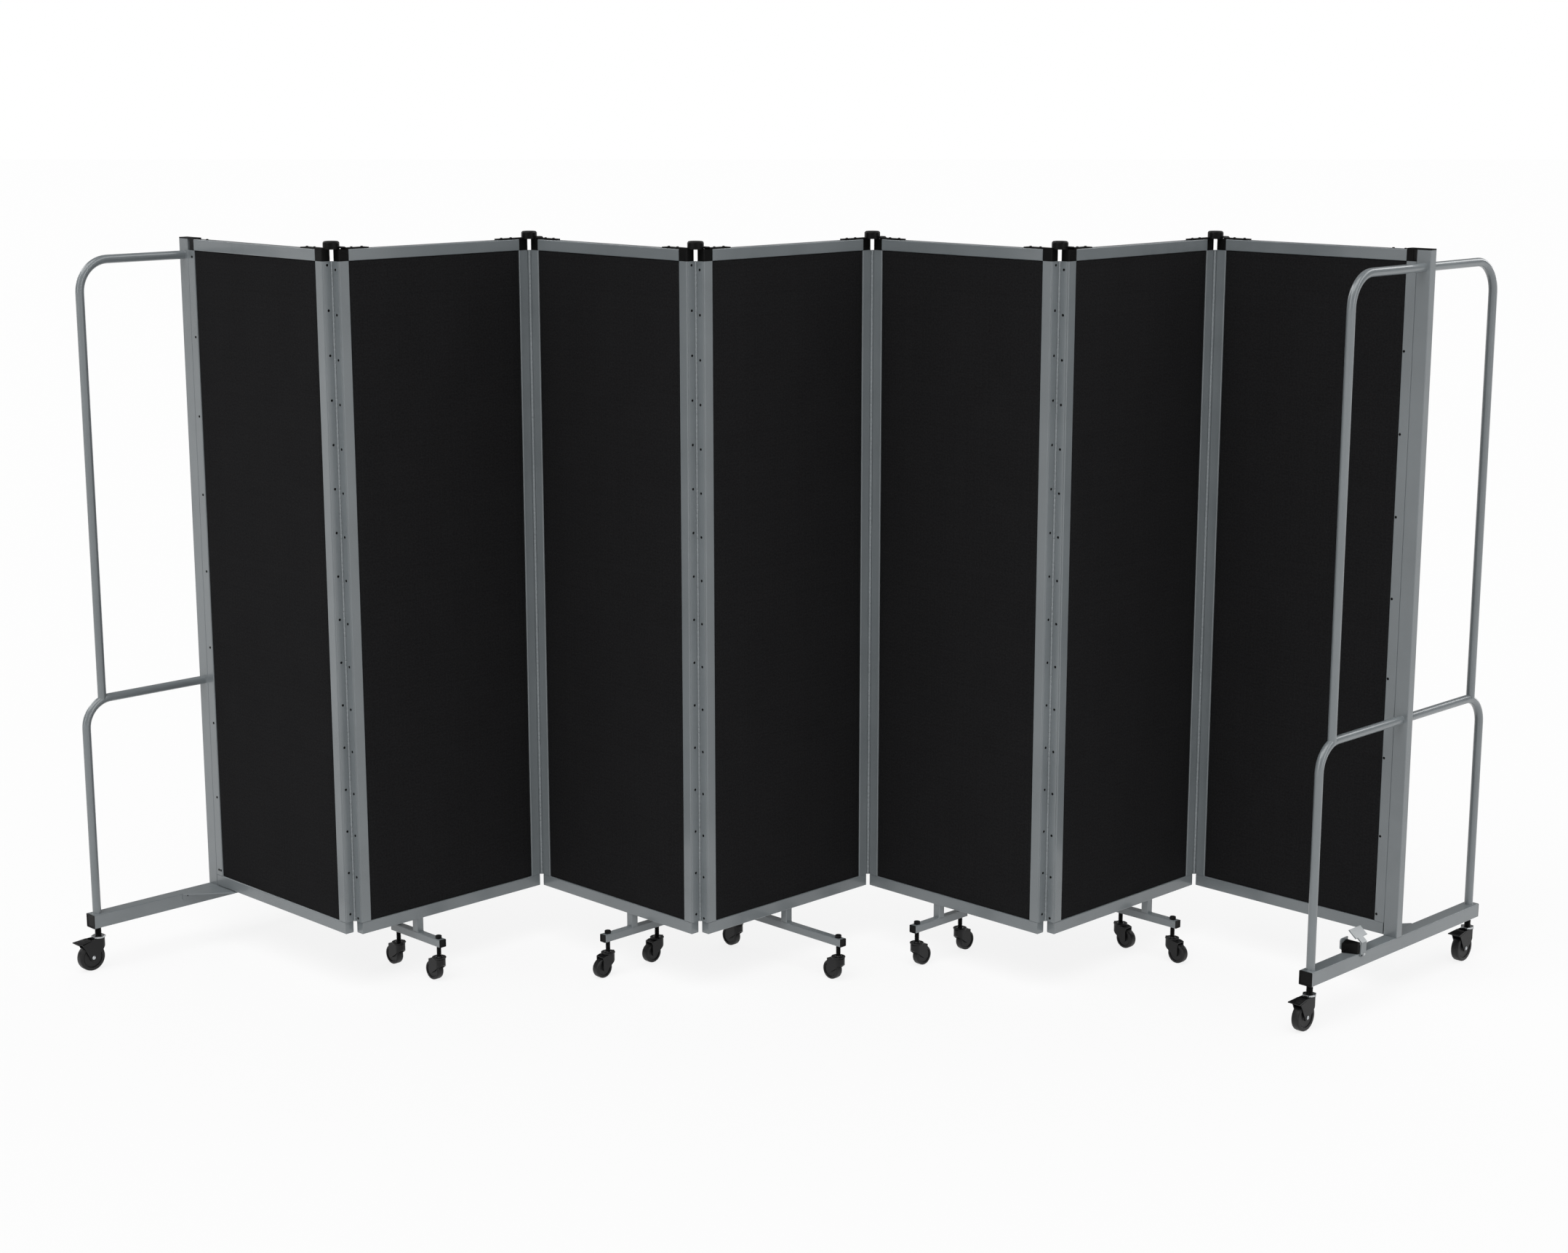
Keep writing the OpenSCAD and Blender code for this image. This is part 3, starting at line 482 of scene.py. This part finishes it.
def setScrews(name, body, size, spots, out=(0, 0, 1), side=(1, 0, 0)):
    # one piece of black heads, each with its middle at a spot and its top towards out
    head = screwHead(size["radius"], size["height"])
    heads = [placed(head, spot, out, side) for spot in spots]
    makePiece(name, body, screwBlack, heads)


# Piano hinges

def hingeBarrel(i, end, first):
    # a sleeve over each of this leaf's knuckles, with a groove about every twelve millimetres
    barrel = {"pitch": 59.85, "gap": 0.2, "fine": 5, "radius": 2.68, "groove": 2.46, "inner": 2.3,
              "edge": 0.35, "count": 27}
    low, high = barrel["gap"], barrel["pitch"] - barrel["gap"]
    cut = np.linspace(low, high, barrel["fine"] + 1)
    rows = [[barrel["inner"], low]]
    for a, b in zip(cut[:-1], cut[1:]):
        rows += [[barrel["groove"], a], [barrel["radius"], a + barrel["edge"]],
                 [barrel["radius"], b - barrel["edge"]], [barrel["groove"], b]]
    rows += [[barrel["inner"], high], [barrel["inner"], low]]
    sleeve = turnedPart(rows, steps=14)
    return [placed(sleeve, atHinge(i, end, 0, 0, divider["fabricZ"] + j * barrel["pitch"]))
            for j in range(first, barrel["count"], 2)]


leafScrews = {"radius": 3.1, "height": 1.1, "count": 16, "top": 1783, "step": 105.8, "lower": 10.7,
              "face": 1.2, "in": 12.3}
leafDrops = leafScrews["step"] * np.arange(leafScrews["count"])
for k in range(1, 7):
    # the leaf on the left panel has the lowest knuckle, and the two take turns up the hinge
    for i, end, first in ((k, 1, 0), (k + 1, -1, 1)):
        name, body = "_%d_%d" % (k, i), "panel_%d" % i
        # the sleeves get the lighter enamel, a painted highlight along the knuckles
        makePiece("hingeBarrel" + name, body, hingeHighlightPaint, hingeBarrel(i, end, first))
        top = leafScrews["top"] - (leafScrews["lower"] if end < 0 else 0)
        spots = [atHinge(i, end, leafScrews["face"], leafScrews["in"], z) for z in top - leafDrops]
        setScrews("leafScrews" + name, body, leafScrews, spots, panelSide(i)[:, 0] * end, (0, 0, 1))
print("hinges dressed")


# Plates that close the bottom rails at the hinges

def railPlate():
    # a superellipse, high along X and wide along Y and nearly square at its corners, whose rim is
    # eased; closed on both faces
    plate = {"high": 14.9, "wide": 11.9, "power": 14, "back": -0.5, "front": 0.35, "ease": 0.3}
    angle = np.linspace(0, 2 * np.pi, 161)
    out = ((np.abs(np.cos(angle)) / plate["high"]) ** plate["power"]
           + (np.abs(np.sin(angle)) / plate["wide"]) ** plate["power"]) ** (-1 / plate["power"])
    r = np.stack([0 * out, out, out, out - plate["ease"], 0 * out])
    front = plate["front"]
    z = np.array([plate["back"], plate["back"], front - plate["ease"], front, front])[:, None]
    return gridPart(np.stack([r * np.cos(angle), r * np.sin(angle), z + 0 * r], -1))


railEnd = {"x": 282.5, "z": 161}
for i in range(1, 8):
    ends = [end for end in (-1, 1) if (i, end) not in outerEnds]
    spots = [(end * railEnd["x"], 0, railEnd["z"]) for end in ends]
    plates = [placed(railPlate(), spot, (end, 0, 0), (0, 0, 1)) for spot, end in zip(spots, ends)]
    plates = [onPanelPart(i, plate) for plate in plates]
    makePiece("railPlates_%d" % i, "panel_%d" % i, paint, plates, smooth=40)
print("rails closed")


# Screws on the end posts and on the pivot arms

postScrews = {"radius": 3.2, "height": 1.2}
# beside the board's outer edge, and above its bottom edge
postRows = {
    1: [(-9.5, z) for z in (1600, 1401, 1202, 1003, 806, 608, 409, 211)] + [(-7, 14), (-16, 14)],
    7: [(5.5, z) for z in (1405, 1208, 1009, 810, 613, 415, 217, 18)],
}
for i, rows in postRows.items():
    sideX = divider["fabricX"] * (-1 if i == 1 else 1)
    spots = onPanel(i, [(sideX + x, -divider["frameT"] / 2, divider["fabricZ"] + z) for x, z in rows])
    setScrews("postScrews_%d" % i, "panel_%d" % i, postScrews, spots, -panelSide(i)[:, 1], (0, 0, 1))

armScrews = {"radius": 3.6, "height": 2.2, "along": (48, 78), "armTop": 3, "railX": (213, 246)}
for i in range(1, 8):
    spots = []
    for end in (-1, 1):
        if (i, end) in outerEnds:
            spots += list(onPanel(i, [(end * x, 0, divider["topZ"]) for x in armScrews["railX"]]))
        else:
            armTop = divider["topZ"] + armScrews["armTop"]
            spots += [atHinge(i, end, x, divider["axisY"], armTop) for x in armScrews["along"]]
    setScrews("armScrews_%d" % i, "panel_%d" % i, armScrews, spots)

gussetScrew = {"radius": 1.7, "height": 0.5, "x": 282.5, "y": 103, "z": 138}
for i, end in outerEnds:
    spots = onPanel(i, [(end * gussetScrew["x"], end * gussetScrew["y"], gussetScrew["z"])])
    setScrews("gussetScrew_%d" % i, "panel_%d" % i, gussetScrew, spots, -end * panelSide(i)[:, 0])
print("screws set")


# Casters

def wheelPart(radius, width, bore, depth):
    # section from the bore out over a flat hub, a dished web, the rim, the groove between rim and
    # tread, the rounded shoulder and the slightly crowned tread, the same on both sides
    half = width / 2
    side = np.array([
        [bore, half - 1], [bore + 0.8, half],
        [0.26 * radius, half], [0.29 * radius, half - depth],
        [0.5 * radius, half - depth - 0.2], [0.69 * radius, half - depth],
        [0.7 * radius, half - depth - 0.8], [0.725 * radius, half - depth - 0.8],
        [0.735 * radius, half - 0.9], [0.76 * radius, half - 0.1],
        [0.8 * radius, half], [0.9 * radius, half - 0.1],
        [radius - 1.2, half - 0.8], [radius - 0.35, half - 2.2], [radius, half - 5]])
    rows = np.concatenate([side * [1, -1], side[::-1], (side * [1, -1])[:1]])
    return turnedPart(rows, steps=72)


def threadPart(radius, ridge, pitch, low, high):
    # a rod whose radius rises and falls once for every pitch along it and every turn round it
    rows = int(9 * (high - low) / pitch)  # nine rows of points to a pitch
    z = np.linspace(low, high, rows)[:, None]
    angle = np.linspace(0, 2 * np.pi, 33)[None, :]
    wave = 0.5 + 0.5 * np.cos(2 * np.pi * z / pitch - angle)
    r = radius + ridge * wave ** 0.8
    body = np.stack([r * np.cos(angle), r * np.sin(angle), z + 0 * angle], -1)
    ends = body[[0, -1]] * [0, 0, 1]
    return gridPart(np.concatenate([ends[:1], body, ends[1:]]))


def nutPart(flats, low, high):
    # hexagon whose corners are cut by a cone at the top and bottom, round a bore
    angle = np.linspace(0, 2 * np.pi, 97)
    hexagon = flats / 2 / np.cos((angle + np.pi / 6) % (np.pi / 3) - np.pi / 6)
    cut = np.array([0.5, 0.515, 0.56, 0.56, 0.515, 0.5]) * flats
    z = np.array([low, low + 0.25, low + 1.0, high - 1.0, high - 0.25, high])
    r = np.minimum(hexagon[None, :], cut[:, None])
    bore = np.full(len(angle), 0.22 * flats)
    r = np.concatenate([[bore], r, [bore], [bore]])
    z = np.concatenate([[low], z, [high], [low]])[:, None]
    return gridPart(np.stack([r * np.cos(angle), r * np.sin(angle), z + 0 * r], -1))


casters = {
    "endWheel": {"radius": 35, "width": 20.5, "bore": 4.1, "depth": 2.0},
    "smallWheel": {"radius": 25, "width": 20, "bore": 3.1, "depth": 2.0},
    "endStem": {"radius": 7.05, "ridge": 1.15, "pitch": 3.5, "low": 85.7, "high": 110.2},
    "smallStem": {"radius": 5.0, "ridge": 0.95, "pitch": 3.5, "low": 65.0, "high": 91.1},
    "nut": {"flats": 31.4, "low": 81.72, "high": 86.0},
    "axleHead": {"radius": 3.9, "out": 14.05, "flange": 1.2, "recess": 0.5},
}
# what carries each caster, by the caster's key: its panel's number and a letter
carriers = {name[7:]: joint["parent"] for name, joint in joints.items() if name.startswith("swivel")}
largeKeys = [key for key in carriers if key[0] in "17"]  # those under the feet, with brakes
for key, carrier in carriers.items():
    stem, axle = jointSpot("swivel_" + key), jointSpot("roll_" + key)
    across = np.array(joints["roll_" + key]["axis"], float)
    large = key in largeKeys
    size = casters["endWheel" if large else "smallWheel"]
    wheel = placed(wheelPart(**size), axle, across, (0, 0, 1))
    piece = makePiece("castWheel_" + key, "roller_" + key, tread, [wheel], smooth=30)
    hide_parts("wheel_" + key)
    size = casters["endStem" if large else "smallStem"]
    rod = placed(threadPart(**size), stem * [1, 1, 0])
    makePiece("threadedStem_" + key, carrier, screwBlack, [rod], smooth=60)
    if large:
        away = (axle - stem) * [1, 1, 0]
        nut = placed(nutPart(**casters["nut"]), stem * [1, 1, 0], (0, 0, 1), away)
        makePiece("lockNut_" + key, carrier, chrome, [nut], smooth=25)
        head = casters["axleHead"]
        r = head["radius"]
        flange, recess = head["flange"] * r, head["recess"] * r
        rows = [[0, -0.5], [flange, -0.5], [flange, 0.2], [r, 0.3], [r, 0.9], [0.9 * r, 1.25],
                [1.12 * recess, 1.45], [recess, 0.8], [0, 0.7]]
        rivet = turnedPart(rows, steps=24)
        rivets = [placed(rivet, axle + across * s * head["out"], across * s) for s in (-1, 1)]
        makePiece("axleHeads_" + key, "caster_" + key, axleSteel, rivets)
print("casters dressed")


# Brake pedals, swivel lips, welds and the latch

def pedalRibs(stem, axle):
    # thin bars across the pedal's top, wider and lower towards its tip
    ribs = {"first": 39, "last": 61, "step": 2.75, "radius": 0.6, "back": 28.5, "tip": 64, "high": 81.5,
            "low": 77.5, "narrow": 13.05, "wide": 17, "rim": 1.8}
    away = (axle - stem) * [1, 1, 0]
    away /= np.linalg.norm(away)
    side = np.cross(away, [0, 0, 1])
    parts = []
    for d in np.arange(ribs["first"], ribs["last"], ribs["step"]):
        share = (d - ribs["back"]) / (ribs["tip"] - ribs["back"])
        z = ribs["high"] + (ribs["low"] - ribs["high"]) * share
        half = ribs["narrow"] + (ribs["wide"] - ribs["narrow"]) * share - ribs["rim"]
        spot = stem * [1, 1, 0] + away * d + [0, 0, z]
        parts.append(barPart(spot - side * half, spot + side * half, ribs["radius"]))
    return parts


def swivelLip(stem, axle):
    # thin disc over the swivel head; its edge runs out along a bell curve into one small tab on
    # the side away from the axle
    lip = {"radius": 17.9, "tab": 3.0, "spread": 0.13, "top": 62.1, "inner": 5.2}
    angle = np.linspace(0, 2 * np.pi, 97)
    edge = lip["radius"] + lip["tab"] * np.exp(-((angle - np.pi) / lip["spread"]) ** 2)
    inner = np.full(len(angle), lip["inner"])
    r = np.stack([inner, edge - 0.4, edge, edge, edge - 0.6, edge - 1.8, edge - 2.4,
                  inner + 4.4, inner + 3.4, inner + 2.2, inner, inner])
    z = lip["top"] + np.array([-1.9, -1.9, -1.5, -0.3, 0.4, 0.4, 0, 0, 0.5, 2.6, 2.9, -1.9])
    points = np.stack([r * np.cos(angle), r * np.sin(angle), z[:, None] + 0 * r], -1)
    return placed(gridPart(points), stem * [1, 1, 0], (0, 0, 1), (axle - stem) * [1, 1, 0])


def weldRing(radius, power, thick):
    # rippled bead along a superellipse round a tube; power 2 suits a round tube, a high power a
    # square one with round corners
    ripple = {"share": 0.12, "perRadius": 2.4}
    angle = np.linspace(0, 2 * np.pi, 65)[None, :]
    across = np.linspace(0, 2 * np.pi, 9)[:, None]
    out = radius / (np.abs(np.cos(angle)) ** power + np.abs(np.sin(angle)) ** power) ** (1 / power)
    bead = thick * (1 + ripple["share"] * np.sin(round(radius * ripple["perRadius"]) * angle))
    r = out + bead * np.cos(across)
    return gridPart(np.stack([r * np.cos(angle), r * np.sin(angle), bead * np.sin(across)], -1))


for key in carriers:
    stem, axle = jointSpot("swivel_" + key), jointSpot("roll_" + key)
    if key in largeKeys:
        makePiece("pedalRibs_" + key, "brake_" + key, plastic, pedalRibs(stem, axle))
    else:
        makePiece("swivelLip_" + key, "caster_" + key, plastic, [swivelLip(stem, axle)])

loops = {"tube": 10.5, "upperZ": 1779.5, "lowerZ": 694, "reach": 355, "weld": 0.7}
loopWeld = weldRing(loops["tube"], 2, loops["weld"])
for i, end in outerEnds:
    x = end * divider["footX"]
    beads = []
    for s in (-1, 1):
        for z in (loops["upperZ"], loops["lowerZ"]):
            beads.append(placed(loopWeld, (x, s * divider["frameT"] / 2, z), (0, s, 0)))
        beads.append(placed(loopWeld, (x, s * loops["reach"], divider["footTop"])))
    beads = [onPanelPart(i, bead) for bead in beads]
    makePiece("loopWelds_%d" % i, "panel_%d" % i, paint, beads, smooth=60)

stubs = {"half": 10, "squareness": 9, "weld": 0.9, "at": {2: -106, 3: 51, 4: 0, 5: -51, 6: 106}}
stubWeld = weldRing(stubs["half"], stubs["squareness"], stubs["weld"])
for i, x in stubs["at"].items():
    beads = [onPanelPart(i, placed(stubWeld, (x, 0, z))) for z in (divider["railZ"], divider["barTop"])]
    makePiece("stubWelds_%d" % i, "panel_%d" % i, paint, beads, smooth=60)

latch = {"y": -157.667, "z": 141, "face": 21.3, "screw": {"radius": 2.2, "height": 1.1}, "screwY": -11,
         "screwZ": -1, "deepest": (287, -197.1), "shallowest": (321, -182.1), "foot": 145.3,
         "height": 28.2, "rib": 0.9}
pivotX = divider["footX"] + latch["face"]
rows = [[1.5, 0.15], [3.9, 0.15], [3.9, 0.6], [3.2, 1.1], [2.4, 1.1], [1.6, 0.5], [0, 0.5]]
rivet = turnedPart(rows, steps=28)
rivet = onPanelPart(7, placed(rivet, (pivotX, latch["y"], latch["z"]), (1, 0, 0)))
makePiece("latchRivet", "panel_7", axleSteel, [rivet])
screwSpot = (pivotX, latch["y"] + latch["screwY"], latch["z"] + latch["screwZ"])
screw = onPanelPart(7, placed(screwHead(**latch["screw"]), screwSpot, (1, 0, 0)))
makePiece("latchScrew", "latch", screwBlack, [screw])
# ribs on the catch block's slanting front, as shares of its width and height
ribLines = (((0.05, 0.1), (0.22, 0.48)), ((0.33, 0.1), (0.22, 0.48)), ((0.4, 0.08), (0.48, 0.45)))
deepest, shallowest = np.array(latch["deepest"]), np.array(latch["shallowest"])
ribs = []
for line in ribLines:
    ends = [np.append(deepest + u * (shallowest - deepest), latch["foot"] + v * latch["height"])
            for u, v in line]
    ribs.append(onPanelPart(7, barPart(*ends, latch["rib"])))
makePiece("blockRibs", "latch", capPlastic, ribs)
print("small parts set")


# Floor, light and camera

def makeStage():
    # pale floor that stays white behind the object and keeps a faint shadow
    stage = {"half": 60, "floor": 0.95, "glow": 0.84}
    x, y = np.meshgrid([-stage["half"], stage["half"]], [-stage["half"], stage["half"]])
    mesh = bpy.data.meshes.new("floor")
    mesh.from_pydata(np.stack([x, y, 0 * x], -1).reshape(-1, 3).tolist(), [], [[0, 1, 3, 2]])
    floor = bpy.data.objects.new("floor", mesh)
    bpy.context.scene.collection.objects.link(floor)
    finish = Finish("paleFloor")
    seen = finish.wire("LightPath", out="Is Camera Ray")
    mirrored = finish.wire("LightPath", out="Is Glossy Ray")
    pale = (stage["floor"],) * 3 + (1,)
    finish.shade({"Base Color": pale, "Roughness": 0.9, "Specular IOR Level": 0.0})
    glow = finish.wire("Emission", {}, {"Color": (1, 1, 1, 1), "Strength": 1.0})
    share = (seen + mirrored).ramp(0, 1) * stage["glow"]
    lit = Wire(finish, finish.shader.outputs[0])
    mixed = finish.wire("MixShader", {}, {0: share, 1: lit, 2: glow})
    finish.fill(finish.tree.nodes["Material Output"], {"Surface": mixed})
    mesh.materials.append(finish.material)


def makeRoom():
    # the room is darker far to the left; shiny surfaces show two tall soft boxes in it, left and
    # right, and the camera sees it white
    room = {"sky": 0.6, "dim": 0.08, "dimAt": -0.95, "skyAt": -0.15,
            "box": 3.5, "dark": 0.2, "boxAt": 0.68, "boxHalf": 0.1}
    world = bpy.data.worlds.new("studio")
    world.use_nodes = True
    bpy.context.scene.world = world
    nodes = Nodes(world.node_tree)
    side = nodes.part(nodes.wire("TexCoord", out="Generated"), "X")
    fall = side.ramp(room["dimAt"], room["skyAt"], room["dim"], room["sky"])
    inBox = side.math("COMPARE", abs(side), room["boxAt"], room["boxHalf"])
    shine = inBox.ramp(0, 1, room["dark"], room["box"])
    shown = nodes.wire("LightPath", out="Is Glossy Ray").ramp(0, 1, fall, shine)
    level = nodes.wire("LightPath", out="Is Camera Ray").ramp(0, 1, shown, 1.0)
    nodes.fill(world.node_tree.nodes["Background"], {"Color": (1, 1, 1, 1), "Strength": level})


def addSun(name, towards, strength, spread):
    # broad soft light from the direction towards; its strength is what a white face turned to it shows
    lamp = bpy.data.lights.new(name, "SUN")
    lamp.energy = strength * math.pi
    lamp.angle = math.radians(spread)
    holder = bpy.data.objects.new(name, lamp)
    holder.rotation_euler = Vector(towards).to_track_quat("Z", "Y").to_euler()
    bpy.context.scene.collection.objects.link(holder)


makeStage()
makeRoom()
addSun("softKey", towards=(-0.18, -0.36, 0.91), strength=0.5, spread=50)

# a camera that was fitted to the corners of the panels
shot = {"place": (0.0092, -6.3677, 2.2344), "down": 12.004, "lens": 60.34, "sensor": 36, "far": 200}
lens = bpy.data.cameras.new("camera")
lens.lens = shot["lens"]
lens.sensor_width = shot["sensor"]
lens.clip_end = shot["far"]
camera = bpy.data.objects.new("camera", lens)
camera.location = shot["place"]
camera.rotation_euler = (math.radians(90 - shot["down"]), 0, 0)
bpy.context.scene.collection.objects.link(camera)
bpy.context.scene.camera = camera
bpy.context.scene.view_settings.view_transform = "Standard"
print("stage set")
